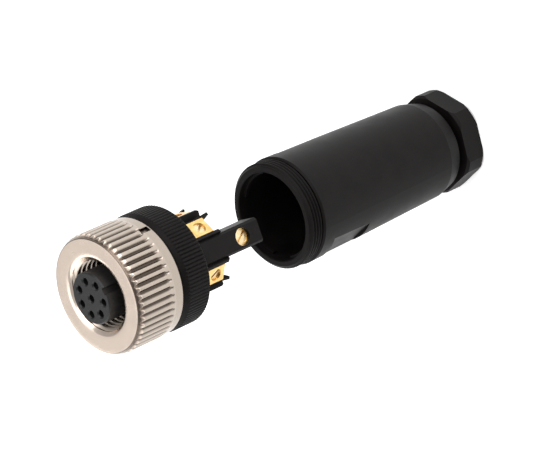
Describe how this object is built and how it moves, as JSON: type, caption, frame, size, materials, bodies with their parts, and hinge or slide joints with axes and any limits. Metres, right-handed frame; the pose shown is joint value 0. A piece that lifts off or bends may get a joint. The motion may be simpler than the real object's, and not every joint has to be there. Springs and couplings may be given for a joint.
{
  "type": "circular connector",
  "caption": "Round field-wired cable socket with knurled coupling nut, screw terminals, threaded housing and cable gland, drawn open for wiring.",
  "frame": {"origin": "Centre of the gland nut's end face, on which the connector stands.", "axes": "+Z is the connector's axis, from the cable gland up to the mating face. The coding slot lies at 38 degrees about +Z from +X towards +Y."},
  "size_m": [0.0194, 0.0194, 0.0813],
  "materials": {
    "nickel_plate": "bright nickel plating on turned and knurled brass",
    "insert_black": "fine satin",
    "moulded_black": "satin moulded glass-filled polyamide",
    "contact_brass": "bright, cut and stamped",
    "brass_screw": "bright turned, slotted",
    "seal_rubber": "smooth moulded rubber",
    "ring_grey": "smooth"
  },
  "bodies": {
    "housing": {"housing": "moulded_black", "gland_seal": "seal_rubber"},
    "thrust_ring": {"thrust_ring": "ring_grey"},
    "gland_nut": {"gland_nut": "moulded_black"},
    "front_unit": {"contact_insert": "insert_black", "face_seal": "seal_rubber", "terminal_carrier": "moulded_black", "contact_1": "contact_brass", "contact_2": "contact_brass", "contact_3": "contact_brass", "contact_4": "contact_brass", "contact_5": "contact_brass", "contact_6": "contact_brass", "contact_7": "contact_brass", "contact_8": "contact_brass", "terminal_screws": "brass_screw", "housing_seal": "seal_rubber"},
    "coupling_nut": {"coupling_nut": "nickel_plate"},
    "union_ring": {"union_ring": "moulded_black"}
  },
  "joints": [
    {"name": "front_unit_slide", "type": "slide", "parent": "housing", "child": "front_unit", "axis": [0, 0, 1], "range_m": [-0.0252, 0]},
    {"name": "coupling_nut_turn", "type": "hinge", "parent": "front_unit", "child": "coupling_nut", "pos_m": [0, 0, 0.0755], "axis": [0, 0, 1], "continuous": true},
    {"name": "union_ring_turn", "type": "hinge", "parent": "front_unit", "child": "union_ring", "pos_m": [0, 0, 0.068], "axis": [0, 0, 1], "continuous": true},
    {"name": "gland_travel", "type": "slide", "parent": "housing", "child": "thrust_ring", "axis": [0, 0, 1], "range_m": [0, 0.00088], "deforming": ["gland_seal"]},
    {"name": "gland_nut_turn", "type": "hinge", "parent": "thrust_ring", "child": "gland_nut", "pos_m": [0, 0, 0.005], "axis": [0, 0, 1], "range_deg": [0, 210]}
  ],
  "couplings": [
    {"joint": "gland_travel", "follows": "gland_nut_turn", "m_per_rad": 0.00023873}
  ]
}
